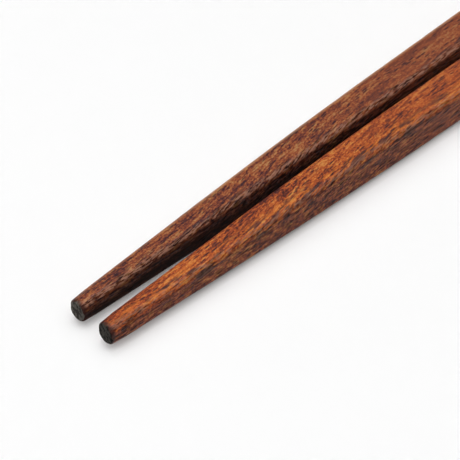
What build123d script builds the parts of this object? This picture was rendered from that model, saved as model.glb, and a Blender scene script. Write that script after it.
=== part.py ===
from build123d import *
import math
import os

# A pair of wooden chopsticks lying side by side, one solid piece each.
# +X runs from the tips to the handle ends, +Y from the front stick to the rear one, and +Z is up.
# The origin is under the middle of the pair, on the surface that the sticks lie on.

# Lengths along a stick, measured from its tip: the point's steep taper is straight as far as
# blend_start, and the body's gentle taper is straight from the shoulder on
length = 230.0
blend_start = 24.0
shoulder = 53.0

# Widths from side to side, and how much taller than wide a stick is all along
tip_width = 2.55
shoulder_width = 4.7
handle_width = 7.5
extra_height = 0.65

# Roundings of the four long edges and of the rims of the two ends
edge_radius = 0.8
tip_rounding = 0.4
handle_rounding = 0.8

# Gap between the two sticks, the same all along
side_gap = 1.1

body_slope = (handle_width - shoulder_width) / (length - shoulder)


def body_width(distance):
    """Width of the body's straight taper at a distance from the tip, carried on to the tip."""
    return shoulder_width + body_slope * (distance - shoulder)


# The two straight tapers would meet in the middle of the blend, and an arc joins them
blend_length = shoulder - blend_start
blend_middle = blend_start + blend_length / 2
meeting_width = body_width(blend_middle)

# Each face leans from the stick's axis by half of its taper
lean = math.degrees(math.atan(body_slope / 2))
point_lean = math.degrees(math.atan((meeting_width - tip_width) / 2 / blend_middle))
blend_radius = blend_length / 2 / math.tan(math.radians(point_lean - lean) / 2)


def outline(extra):
    """Outline of a stick along its axis, wider than the widths above by an extra."""
    with BuildSketch() as sketch:
        with BuildLine():
            upper = FilletPolyline(
                (0, (tip_width + extra) / 2),
                (blend_middle, (meeting_width + extra) / 2),
                (length, (handle_width + extra) / 2),
                radius=blend_radius,
            )
            lower = mirror(upper, about=Plane.XZ)
            Line(upper @ 0, lower @ 0)
            Line(upper @ 1, lower @ 1)
        make_face()
    return sketch.sketch


side_outline = outline(extra_height)
plan_outline = outline(0)

os.makedirs("parts", exist_ok=True)

# The body's underside lies flat on the surface and its inner side faces the other stick,
# so the axis rises by the lean and turns outwards by the lean, and the tip hovers
for name, side in (("rear_chopstick", 1), ("front_chopstick", -1)):
    along = Vector(1, 0, 0).rotate(Axis.Y, -lean).rotate(Axis.Z, side * lean)
    across = Vector(0, 1, 0).rotate(Axis.Z, side * lean)
    tip_centre = Vector(
        -length / 2,
        side * (body_width(0) + side_gap) / 2,
        (body_width(0) + extra_height) / 2,
    )
    from_the_side = Plane(tip_centre, x_dir=along, z_dir=across)
    from_above = Plane(tip_centre, x_dir=along, z_dir=along.cross(across))

    with BuildPart() as stick:
        with BuildSketch(from_the_side):
            add(side_outline)
        extrude(amount=handle_width, both=True)
        with BuildSketch(from_above):
            add(plan_outline)
        extrude(amount=handle_width, both=True, mode=Mode.INTERSECT)

        ends = stick.faces().sort_by(Axis.X)
        rims = ends[0].edges() + ends[-1].edges()
        long_edges = stick.edges().filter_by(lambda edge: edge not in rims)
        fillet(long_edges, edge_radius)
        fillet(stick.faces().sort_by(Axis.X)[0].edges(), tip_rounding)
        fillet(stick.faces().sort_by(Axis.X)[-1].edges(), handle_rounding)

    stick.part.label = name
    export_step(stick.part, f"parts/{name}.step")
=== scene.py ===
import math
from types import SimpleNamespace

import bpy
import numpy as np
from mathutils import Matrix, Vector, noise


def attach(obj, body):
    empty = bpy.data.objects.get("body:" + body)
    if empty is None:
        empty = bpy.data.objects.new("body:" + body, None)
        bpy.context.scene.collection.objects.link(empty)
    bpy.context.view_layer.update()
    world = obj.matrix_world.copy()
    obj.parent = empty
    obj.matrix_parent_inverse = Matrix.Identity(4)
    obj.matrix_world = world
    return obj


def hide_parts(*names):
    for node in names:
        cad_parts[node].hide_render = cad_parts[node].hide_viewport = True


# A pair of lacquered wooden chopsticks on a pale floor, seen close from the tips' end.
# Lengths are in metres, and the grain's own coordinates are in millimetres.
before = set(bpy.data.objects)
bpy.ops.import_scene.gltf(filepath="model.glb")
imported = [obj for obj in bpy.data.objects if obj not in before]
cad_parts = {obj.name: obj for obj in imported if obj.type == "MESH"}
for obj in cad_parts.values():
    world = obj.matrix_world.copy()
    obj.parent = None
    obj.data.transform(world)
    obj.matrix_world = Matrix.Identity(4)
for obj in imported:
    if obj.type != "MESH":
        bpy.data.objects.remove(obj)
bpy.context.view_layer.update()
mm = 0.001

# The solids' driving sizes, which the visible sticks repeat
length = 230 * mm
blend_start = 24 * mm
shoulder = 53 * mm
tip_width = 2.55 * mm
shoulder_width = 4.7 * mm
handle_width = 7.5 * mm
extra_height = 0.65 * mm
edge_radius = 0.8 * mm
handle_rounding = 0.8 * mm
side_gap = 1.1 * mm

# Fineness of the visible mesh, whose rings are closest over the stretch that the camera sees.
# The smallest ring of an end's flat face is a share of that face.
close_stretch = 70 * mm
close_step = 0.16 * mm
far_step = 0.36 * mm
corner_steps = 10
flat_steps = 15
rim_steps = 7
face_steps = 9
smallest_ring = 0.04

# Wear and unevenness of the surface, which stay within a tenth of a millimetre of the solid's form
# except for the long edges near the tip, which are cut back further
tip_edge_radius = 1.25 * mm
point_edge_radius = 1.02 * mm
worn_end = 2.2 * mm
tip_rim = 0.30 * mm
waviness = 0.035 * mm
ripple = 0.016 * mm
edge_wear = 0.03 * mm

# How long and wide the bumps of each kind of unevenness are, in millimetres
wave_size = (7, 4)
ripple_size = (1.1, 0.5)
worn_place_size = (2.5, 3)

# The grain in millimetres: how fast it runs across and up the stick, how it sways as it goes, and
# how much its coordinates are drawn together in height, which makes its features taller than wide
run_across = 0.09
run_up = 0.07
sway = 0.9
sway_length = 10
sway_start_across = 33
sway_start_up = 35
height_scale = 0.7

# Camera: what it aims at on the floor, where it looks from, and its lens
aim = Vector((-91.256, 1.182, 0.0)) * mm
look_elevation = math.radians(46.70)
look_heading = math.radians(46.55)
camera_distance = 434.9 * mm
focal_length = 279.5

body_slope = (handle_width - shoulder_width) / (length - shoulder)
blend_middle = (blend_start + shoulder) / 2
blend_length = shoulder - blend_start


def body_width(distance):
    """Width of the body's straight taper at a distance from the tip, carried on to the tip."""
    return shoulder_width + body_slope * (distance - shoulder)


point_slope = (body_width(blend_middle) - tip_width) / blend_middle


def stick_width(distance):
    """Width across the flats: a steep point and a gentle body, with a smooth blend between."""
    steeper = point_slope - body_slope
    on_point = steeper * (blend_middle - distance)
    in_blend = steeper * (shoulder - distance) ** 2 / (2 * blend_length)
    lost = np.where(distance < blend_start, on_point, in_blend)
    return body_width(distance) - np.where(distance < shoulder, lost, 0)


def worn_radius(distance):
    """Radius of the long edges, which handling has worn rounder towards the tip, most at its end."""
    places = (0, worn_end, blend_start)
    return np.interp(distance, places, (tip_edge_radius, point_edge_radius, edge_radius))


def ring_plan():
    """Each ring's distance from the tip, and how far its outline is set in from the flats."""
    quarter = np.linspace(0, math.pi / 2, rim_steps)
    outwards = np.linspace(smallest_ring, 1, face_steps, endpoint=False)

    def end(radius, half_width):
        """One end from its middle outwards: a flat face, then the rounding of its rim."""
        face = half_width - outwards * (half_width - radius)
        depth = np.concatenate([np.zeros(face_steps), radius * (1 - np.cos(quarter))])
        return depth, np.concatenate([face, radius * (1 - np.sin(quarter))])

    tip_depth, tip_inset = end(tip_rim, tip_width / 2)
    handle_depth, handle_inset = end(handle_rounding, handle_width / 2)
    close = np.arange(tip_rim + close_step, close_stretch, close_step)
    far = np.arange(close_stretch, length - handle_rounding - far_step / 2, far_step)
    body = np.concatenate([close, far])
    distance = np.concatenate([tip_depth, body, length - handle_depth[::-1]])
    inset = np.concatenate([tip_inset, np.zeros(len(body)), handle_inset[::-1]])
    return distance, inset


def outline_plan():
    """Going round a section: which way the surface faces, and the share of the flats passed."""
    facing, across, up = [], [], []
    corners = ((1, 1), (-1, 1), (-1, -1), (1, -1))
    for quarter, corner in enumerate(corners):
        following = corners[(quarter + 1) % 4]
        start = quarter * math.pi / 2
        for step in range(corner_steps + 1):
            facing.append(start + step / corner_steps * math.pi / 2)
            across.append(corner[0])
            up.append(corner[1])
        for step in range(1, flat_steps):
            share = step / flat_steps
            facing.append(start + math.pi / 2)
            across.append(corner[0] + share * (following[0] - corner[0]))
            up.append(corner[1] + share * (following[1] - corner[1]))
    return np.array(facing), np.array(across), np.array(up)


def smooth_surface():
    """Each point's place along, across and up the even stick, and the way the surface faces there."""
    distance, inset = ring_plan()
    facing, corner_across, corner_up = outline_plan()
    half = (stick_width(distance) / 2 - inset)[:, None]
    radius = np.minimum(np.maximum(worn_radius(distance) - inset, 0)[:, None], half)
    across = (half - radius) * corner_across + radius * np.cos(facing)
    up = (half + extra_height / 2 - radius) * corner_up + radius * np.sin(facing)
    along = np.broadcast_to(distance[:, None], across.shape)
    return along, across, up, np.broadcast_to(facing, across.shape)


def bumps(place, size, seed):
    """Smooth noise from 0 to 1 at a place, with bumps of a length and width, all in millimetres."""
    along, across, up = place
    long, wide = size
    return 0.5 + 0.5 * noise.noise((along / long, across / wide, up / wide + seed))


def relief(places, facing, seed):
    """Depth of the surface under the even stick's, for places in millimetres."""
    depth = np.empty(len(facing))
    corner = np.abs(np.sin(2 * facing))
    for index, place in enumerate(places.tolist()):
        depth[index] = waviness * bumps(place, wave_size, seed)
        depth[index] += ripple * bumps(place, ripple_size, seed)
        depth[index] += edge_wear * bumps(place, worn_place_size, -seed) * corner[index]
    return depth


def stick_axes(side):
    """Directions along, across and up a stick that lies flat, its inner side along the X axis."""
    lean = math.atan(body_slope / 2)
    along = Vector((
        math.cos(lean) * math.cos(side * lean),
        math.cos(lean) * math.sin(side * lean),
        math.sin(lean),
    ))
    across = Vector((-math.sin(side * lean), math.cos(side * lean), 0))
    return along, across, along.cross(across)


def stick_faces(rings, around):
    """Quads between the rings, and fans that close the ends round the two points after the last."""
    here = np.arange(rings * around).reshape(rings, around)
    after = np.roll(here, -1, axis=1)
    sides = np.stack([here[:-1], here[1:], after[1:], after[:-1]], -1).reshape(-1, 4)
    tip_middle = np.full(around, rings * around)
    handle_middle = tip_middle + 1
    tip_fan = np.stack([tip_middle, here[0], after[0]], -1)
    handle_fan = np.stack([handle_middle, after[-1], here[-1]], -1)
    return sides.tolist() + tip_fan.tolist() + handle_fan.tolist()


def add_attribute(mesh, name, values):
    """A value or a vector at each of the mesh's points, which the material reads by its name."""
    kind, field = ("FLOAT", "value") if values.ndim == 1 else ("FLOAT_VECTOR", "vector")
    mesh.attributes.new(name, kind, "POINT").data.foreach_set(field, values.ravel())


def mark_places(mesh, places, seed):
    """What the material reads at each point: the grain there, and how deep in the stick it lies."""
    along, across, up = places.T
    grain_across = run_across * along + sway * np.sin((along - sway_start_across) / sway_length)
    grain_up = run_up * along + sway * np.sin((along - sway_start_up) / sway_length)

    # Each stick is cut from another place in the wood
    cut_from = 10 * seed
    grain = [along, across - grain_across + cut_from, height_scale * (up - grain_up)]
    add_attribute(mesh, "grain", np.stack(grain, -1))

    # Depths from the nearer end, from the side towards the viewer and from the top
    half_width = stick_width(along * mm) / 2 / mm
    half_height = half_width + extra_height / 2 / mm
    from_end = np.minimum(along, length / mm - along)
    add_attribute(mesh, "depths", np.stack([from_end, across + half_width, half_height - up], -1))
    add_attribute(mesh, "from_axis", np.hypot(across, up * half_width / half_height))


def stick_mesh(name, side, seed):
    """The visible stick: the solid's form in fine rings, with the surface's unevenness."""
    along, across, up, facing = smooth_surface()
    even = np.stack([along, across, up], -1).reshape(-1, 3)
    depth = relief(even / mm, facing.ravel(), seed).reshape(facing.shape)
    across = across - depth * np.cos(facing)
    up = up - depth * np.sin(facing)
    uneven = np.stack([along, across, up], -1).reshape(-1, 3)

    end_middles = [(0, 0, 0), (length, 0, 0)]
    tip_centre = (
        -length / 2,
        side * (body_width(0) + side_gap) / 2,
        (body_width(0) + extra_height) / 2,
    )
    points = np.concatenate([uneven, end_middles]) @ np.array(stick_axes(side)) + tip_centre
    mesh = bpy.data.meshes.new(name)
    mesh.from_pydata(points.tolist(), [], stick_faces(*facing.shape))
    mesh.polygons.foreach_set("use_smooth", [True] * len(mesh.polygons))

    # The long edges' roundings are below 0 on the side towards the viewer and above 0 on the far one
    rounding = 2 * np.abs(np.sin(facing)) * np.cos(facing)
    add_attribute(mesh, "edge", np.append(rounding.ravel(), [0] * len(end_middles)))
    mark_places(mesh, np.concatenate([even, end_middles]) / mm, seed)
    return mesh


def node(tree, kind, inputs=(), **settings):
    """A new shader node. Each of its inputs is a plain value or another node's output."""
    made = tree.nodes.new("ShaderNode" + kind)
    for name, value in settings.items():
        setattr(made, name, value)
    for name, value in dict(inputs).items():
        if isinstance(value, bpy.types.NodeSocket):
            tree.links.new(value, made.inputs[name])
        else:
            made.inputs[name].default_value = value
    return made


def stretched(tree, grain, long, wide, shift):
    """Grain coordinates for a pattern whose features are that long and wide, in millimetres."""
    scale = (1 / long, 1 / wide, 1 / wide)
    inputs = {"Vector": grain, "Scale": scale, "Location": (shift,) * 3}
    return node(tree, "Mapping", inputs).outputs[0]


def clouds(tree, grain, long, wide, shift, detail=3.0):
    """Soft noise from 0 to 1, drawn out along the grain."""
    inputs = {"Vector": stretched(tree, grain, long, wide, shift), "Scale": 1.0, "Detail": detail}
    return node(tree, "TexNoise", inputs).outputs["Fac"]


def between(tree, value, low, high, out_low=0.0, out_high=1.0):
    """value carried smoothly from one range to another, and held at the ends."""
    inputs = {0: value, 1: low, 2: high, 3: out_low, 4: out_high}
    return node(tree, "MapRange", inputs, interpolation_type="SMOOTHSTEP").outputs[0]


def maths(tree, operation, first, second):
    """A sum, difference or the like of two values."""
    return node(tree, "Math", {0: first, 1: second}, operation=operation).outputs[0]


def times(tree, first, *others):
    """The product of two or more values."""
    for other in others:
        first = maths(tree, "MULTIPLY", first, other)
    return first


def blended(tree, share, first, second):
    """first where share is 0, second where it is 1."""
    made = node(tree, "Mix", {0: share}, data_type="RGBA")
    for socket, colour in ((made.inputs[6], first), (made.inputs[7], second)):
        if isinstance(colour, bpy.types.NodeSocket):
            tree.links.new(colour, socket)
        else:
            socket.default_value = (*colour, 1)
    return made.outputs[2]


def tinted(tree, colour, tint):
    """A colour with each of its channels times a plain tint's."""
    made = node(tree, "Mix", {0: 1.0}, data_type="RGBA", blend_type="MULTIPLY")
    tree.links.new(colour, made.inputs[6])
    made.inputs[7].default_value = (*tint, 1)
    return made.outputs[2]


def reflected(tree):
    """1 where a surface is seen in a reflection, 0 elsewhere."""
    return node(tree, "LightPath").outputs["Is Glossy Ray"]


def seen_directly(tree):
    """1 where the camera sees a surface itself or through glass, 0 where it only lights others."""
    path = node(tree, "LightPath").outputs
    return maths(tree, "MAXIMUM", path["Is Camera Ray"], path["Is Transmission Ray"])


def stick_places(tree):
    """The mesh's attributes by their names, with the depths apart."""
    def attribute(name, output):
        return node(tree, "Attribute", attribute_name=name).outputs[output]

    depths = node(tree, "SeparateXYZ", {0: attribute("depths", "Vector")}).outputs
    return SimpleNamespace(
        grain=attribute("grain", "Vector"),
        edge=attribute("edge", "Fac"),
        from_axis=attribute("from_axis", "Fac"),
        from_end=depths[0],
        from_side=depths[1],
        from_top=depths[2],
    )


def bare_wood(tree, at, look, fibres):
    """The wood's own colour: broad bands, fibres in them and fine speckle, from dark to golden."""
    bands = clouds(tree, at.grain, 9.0, 1.1, 0.0)
    speckle = clouds(tree, at.grain, 0.34, 0.20, 75.0, 2.0)
    tone = maths(tree, "ADD", times(tree, bands, 0.9), times(tree, fibres, 1.3))
    tone = maths(tree, "ADD", tone, times(tree, speckle, 1.2))
    ramp = node(tree, "ValToRGB", {"Fac": maths(tree, "SUBTRACT", tone, 1.2)})
    stops = (
        (0.16, (0.045, 0.014, 0.010)),
        (0.34, (0.175, 0.036, 0.013)),
        (0.50, (0.350, 0.072, 0.015)),
        (0.66, (0.480, 0.125, 0.022)),
        (0.84, (0.570, 0.235, 0.045)),
    )
    elements = ramp.color_ramp.elements
    for index, (place, colour) in enumerate(stops):
        stop = elements[index] if index < 2 else elements.new(place)
        stop.position = place
        stop.color = (*colour, 1)

    # The front stick's tip is a little redder, and on both the grain is fainter further on
    colour = tinted(tree, ramp.outputs["Color"], look.tint)
    tip_share = between(tree, at.from_end, 2.0, 32.0, look.tip_redness, 0.0)
    colour = blended(tree, tip_share, colour, (0.640, 0.110, 0.020))
    plain_share = between(tree, at.from_end, 32.0, 60.0, 0.0, look.plain_share)
    return blended(tree, plain_share, colour, look.plain_colour)


def golden_patches(tree, at, look, colour):
    """Golden patches on top, beside the edge towards the viewer."""
    pattern = clouds(tree, at.grain, 2.4, 0.45, 270.0)
    patches = between(tree, pattern, 0.46, 0.58, 0.0, look.golden)
    beside_edge = between(tree, at.from_side, 1.0, 2.2, 1.0, 0.0)
    on_top = between(tree, at.from_top, 0.1, 0.4, 1.0, 0.0)
    return blended(tree, times(tree, patches, beside_edge, on_top), colour, (0.700, 0.215, 0.028))


def open_pores(tree, at):
    """Tubes along the grain, which the surface cuts into short dashes, in clusters."""
    places = stretched(tree, at.grain, 1.5, 0.34, 90.0)
    cells = node(tree, "TexVoronoi", {"Vector": places, "Scale": 1.0})
    tubes = between(tree, cells.outputs["Distance"], 0.22, 0.46, 1.0, 0.0)
    clusters = between(tree, clouds(tree, at.grain, 3.5, 0.9, 120.0, 2.0), 0.42, 0.58)
    return times(tree, tubes, clusters)


def smudges(tree, at, look, colour):
    """Dark smudges along the grain, mostly near the long edge towards the viewer."""
    pattern = clouds(tree, at.grain, 4.2, 0.75, 300.0)
    strength = between(tree, pattern, 0.54, 0.60, 0.0, look.smudged)
    from_edge = maths(tree, "ADD", at.from_side, at.from_top)
    near_edge = between(tree, from_edge, 0.8, 2.0, 1.0, 0.1)
    return blended(tree, times(tree, strength, near_edge), colour, (0.050, 0.024, 0.026))


def dark_side(tree, at, look):
    """Share of dark wood and painted shade along the side towards the viewer: the painted shade is
    darkest at its foot, frayed above, with pale lines.
    """
    tufts = times(tree, clouds(tree, at.grain, 3.0, 0.5, 60.0), 2.0)
    frayed = maths(tree, "SUBTRACT", at.from_side, tufts)
    softness = 0.45
    # Painted shade and dark wood reach this far up the side towards the viewer, frayed by tufts
    at_side = between(tree, frayed, look.dark_reach - softness, look.dark_reach, 1.0, 0.0)
    # Painted shade: darker towards the foot, where the gap between the sticks and the floor shade the
    # side
    depth = between(tree, at.from_top, 0.8, 2.1, look.dark_side, look.dark_foot)
    lines = between(tree, clouds(tree, at.grain, 1.8, 0.20, 210.0, 2.0), 0.42, 0.57, 0.0, look.lined)
    by_end = between(tree, at.from_end, 8.0, 40.0, look.tip_lined, 1.0)
    by_foot = between(tree, at.from_top, 1.2, 2.0, 1.0, look.foot_lined)
    unlined = maths(tree, "SUBTRACT", 1.0, times(tree, lines, by_end, by_foot))
    fading = between(tree, at.from_end, 40.0, 62.0, 1.0, 0.84)
    return times(tree, at_side, depth, unlined, fading)


def rubbed_edges(tree, at, look, colour):
    """Painted highlight: pale pinkish streaks, mostly on the upper rounding of the long edges towards
    the viewer; painted reflection: a paler line along the far ones, fainter near the tip.
    """
    # Painted highlight: the lacquer's sheen on the near edges, broken into streaks
    pattern = clouds(tree, at.grain, 0.9, 0.18, 180.0, 4.0)
    streaks = between(tree, pattern, 0.42, 0.60, 0.0, look.rubbed)
    by_top = between(tree, at.from_top, 0.30, 0.60, 1.0, 0.4)
    near_edge = maths(tree, "MAXIMUM", times(tree, at.edge, -1.0), 0.0)
    colour = blended(tree, times(tree, near_edge, streaks, by_top), colour, (0.420, 0.210, 0.140))

    # Painted reflection of the pale room along the far upper edges, fainter near the tip
    line = between(tree, at.from_end, 12.0, 26.0, 0.25 * look.far_line, look.far_line)
    far_edge = maths(tree, "MAXIMUM", at.edge, 0.0)
    return blended(tree, times(tree, far_edge, line), colour, (0.520, 0.270, 0.140))


def stained_ends(tree, at, creep, colour):
    """A dark stain that creeps a little way along the sides from each end."""
    stained = between(tree, maths(tree, "SUBTRACT", at.from_end, creep), -0.3, 0.3, 1.0, 0.0)
    return blended(tree, times(tree, stained, 0.88), colour, (0.040, 0.012, 0.010))


def sealed_ends(tree, at, creep, look):
    """Share of sealant: a ragged oval on each end's face."""
    ragged = maths(tree, "ADD", at.from_axis, times(tree, creep, 0.5))
    softness = 0.12
    oval = between(tree, ragged, look.end_size, look.end_size + softness, 1.0, 0.0)
    return times(tree, oval, between(tree, at.from_end, 0.3, 0.6, 1.0, 0.0))


def wood_material(name, look):
    """Reddish hardwood under satin lacquer, with dark pores, a side darkened by dark wood and painted
    shade, a painted highlight and a painted reflection on the long edges, and sealed ends.
    """
    material = bpy.data.materials.new(name)
    material.use_nodes = True
    tree = material.node_tree
    shader = tree.nodes["Principled BSDF"]
    at = stick_places(tree)

    fibres = clouds(tree, at.grain, 1.9, 0.33, 30.0)
    pores = open_pores(tree, at)
    darkness = dark_side(tree, at, look)
    colour = bare_wood(tree, at, look, fibres)
    colour = golden_patches(tree, at, look, colour)
    colour = blended(tree, times(tree, pores, 0.82), colour, (0.040, 0.018, 0.022))
    colour = smudges(tree, at, look, colour)
    # Painted shade: the side's share turns near black, darkest at its foot
    colour = blended(tree, darkness, colour, (0.010, 0.005, 0.004))
    # Painted highlight on the near edges and painted reflection on the far ones
    colour = rubbed_edges(tree, at, look, colour)

    creep = clouds(tree, at.grain, 0.8, 0.35, 150.0)
    colour = stained_ends(tree, at, creep, colour)
    sealed = sealed_ends(tree, at, creep, look)
    mottling = between(tree, clouds(tree, at.grain, 0.5, 0.50, 240.0, 4.0), 0.42, 0.58)
    colour = blended(tree, sealed, colour, blended(tree, mottling, look.end_dark, look.end_pale))
    tree.links.new(colour, shader.inputs["Base Color"])

    # The sealed ends and the side's dark wood and painted shade shine less, and fibres and pores
    # roughen the lacquer
    shine = between(tree, maths(tree, "MAXIMUM", sealed, darkness), 0.3, 0.9, 0.15, 0.015)
    tree.links.new(shine, shader.inputs["Specular IOR Level"])
    roughening = maths(tree, "ADD", pores, times(tree, fibres, 0.4))
    tree.links.new(between(tree, roughening, 0.0, 1.2, 0.36, 0.6), shader.inputs["Roughness"])
    height = maths(tree, "SUBTRACT", times(tree, fibres, 0.5), pores)
    bump = node(tree, "Bump", {"Height": height, "Distance": 0.05 * mm, "Strength": 0.8})
    tree.links.new(bump.outputs[0], shader.inputs["Normal"])
    return material


def darker_wood():
    """The rear stick's browner wood, with a side of dark wood and painted shade, nearly black at its
    foot, and a painted highlight and a painted reflection as pale lines on its edges.
    """
    return wood_material("darker_wood", SimpleNamespace(
        tint=(0.78, 0.93, 1.80),
        tip_redness=0.0,
        plain_share=0.50,
        plain_colour=(0.275, 0.079, 0.036),
        golden=0.0,
        smudged=0.65,
        # Painted shade on the side towards the front stick, nearly black at its foot
        dark_side=0.76,
        dark_foot=0.99,
        dark_reach=-0.04,
        lined=0.75,
        tip_lined=0.35,
        foot_lined=0.30,
        # Painted highlight on the near edges and painted reflection on the far ones
        rubbed=0.80,
        far_line=0.75,
        end_size=1.42,
        end_dark=(0.040, 0.034, 0.029),
        end_pale=(0.140, 0.126, 0.110),
    ))


def redder_wood():
    """The front stick's orange wood, with golden patches, a lined brown side darkened by dark wood
    and painted shade, a painted highlight on its near edges, and charcoal ends.
    """
    return wood_material("redder_wood", SimpleNamespace(
        tint=(1.12, 1.08, 1.35),
        tip_redness=0.10,
        plain_share=0.44,
        plain_colour=(0.400, 0.096, 0.034),
        golden=0.32,
        smudged=0.80,
        # Painted shade on the side towards the viewer, darker at its foot
        dark_side=0.64,
        dark_foot=0.60,
        dark_reach=-0.32,
        lined=1.0,
        tip_lined=1.0,
        foot_lined=1.0,
        # Painted highlight on the near edges, with no painted reflection on the far ones
        rubbed=0.50,
        far_line=0.0,
        end_size=1.45,
        end_dark=(0.010, 0.009, 0.008),
        end_pale=(0.066, 0.060, 0.050),
    ))


def make_sticks():
    """Both sticks, each in place of its plain solid."""
    for name, node_name, side, seed, material in (
        ("rear_stick", "rear_chopstick", 1, 3.0, darker_wood()),
        ("front_stick", "front_chopstick", -1, 11.0, redder_wood()),
    ):
        stick = bpy.data.objects.new(name, stick_mesh(name, side, seed))
        bpy.context.scene.collection.objects.link(stick)
        stick.data.materials.append(material)
        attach(stick, "root")
        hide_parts(node_name)


def floor_material():
    """Milky white that glows a little where it is seen, but not in the chinks under the sticks."""
    material = bpy.data.materials.new("pale_floor")
    material.use_nodes = True
    tree = material.node_tree
    shader = tree.nodes["Principled BSDF"]
    seen = maths(tree, "MAXIMUM", seen_directly(tree), reflected(tree))
    colour = blended(tree, seen, (0.56, 0.56, 0.56), (0.645, 0.645, 0.645))
    tree.links.new(colour, shader.inputs["Base Color"])
    shader.inputs["Roughness"].default_value = 1.0
    shader.inputs["Specular IOR Level"].default_value = 0.0
    shader.subsurface_method = "BURLEY"
    shader.inputs["Subsurface Weight"].default_value = 1.0
    shader.inputs["Subsurface Radius"].default_value = (1.0, 1.0, 1.0)
    shader.inputs["Subsurface Scale"].default_value = 3.5 * mm

    # The lamps' light thins out over the first metres, and the seen glow makes up for it
    position = node(tree, "NewGeometry").outputs["Position"]
    away = node(tree, "VectorMath", {0: position}, operation="LENGTH").outputs["Value"]
    strength = between(tree, away, 0.2, 1.8, 0.36, 0.90)
    open_sky = node(tree, "AmbientOcclusion", {"Distance": 1.1 * mm}).outputs["AO"]
    shader.inputs["Emission Color"].default_value = (1, 1, 1, 1)
    tree.links.new(times(tree, seen, strength, open_sky), shader.inputs["Emission Strength"])
    return material


def make_floor():
    """A wide square of pale floor."""
    half = 6.0
    corners = [(-half, -half, 0), (half, -half, 0), (half, half, 0), (-half, half, 0)]
    mesh = bpy.data.meshes.new("floor")
    mesh.from_pydata(corners, [], [(0, 1, 2, 3)])
    mesh.materials.append(floor_material())
    floor = bpy.data.objects.new("floor", mesh)
    bpy.context.scene.collection.objects.link(floor)


def make_lamp(name, half_angle, share, x, y):
    """A round overhead light as wide as its half angle, giving the floor that share of white."""
    height = 0.80
    radius = height * math.tan(math.radians(half_angle))
    light = bpy.data.lights.new(name, "AREA")
    light.shape = "DISK"
    light.size = 2 * radius
    light.energy = share / math.sin(math.radians(half_angle)) ** 2 * math.pi ** 2 * radius ** 2
    lamp = bpy.data.objects.new(name, light)
    lamp.location = (x, y, height)
    lamp.visible_camera = False
    bpy.context.scene.collection.objects.link(lamp)


def make_light():
    """A softbox overhead, the paler ceiling around it that it lights up, and a dim room."""
    make_lamp("softbox", half_angle=20, share=0.48, x=-0.14, y=0.05)
    make_lamp("ceiling", half_angle=45, share=0.60, x=-0.36, y=0.04)

    # The room is white where it is seen, dim as a light, and brighter than that in reflections
    dimness = 0.042
    reflected_more = 0.3
    world = bpy.data.worlds.new("room")
    bpy.context.scene.world = world
    world.use_nodes = True
    tree = world.node_tree
    strength = maths(tree, "ADD", dimness, times(tree, seen_directly(tree), 1 - dimness))
    strength = maths(tree, "ADD", strength, times(tree, reflected(tree), reflected_more))
    background = tree.nodes["Background"]
    background.inputs["Color"].default_value = (1, 1, 1, 1)
    tree.links.new(strength, background.inputs["Strength"])


def make_camera():
    """The camera, close above the tips, looking along and across the pair."""
    camera = bpy.data.cameras.new("camera")
    camera.lens = focal_length
    look = Vector((
        math.cos(look_elevation) * math.cos(look_heading),
        math.cos(look_elevation) * math.sin(look_heading),
        -math.sin(look_elevation),
    ))
    seat = bpy.data.objects.new("camera", camera)
    seat.location = aim - camera_distance * look
    seat.rotation_euler = look.to_track_quat("-Z", "Y").to_euler()
    bpy.context.scene.collection.objects.link(seat)
    bpy.context.scene.camera = seat


bpy.context.scene.view_settings.view_transform = "Standard"
make_camera()
make_floor()
make_light()
make_sticks()
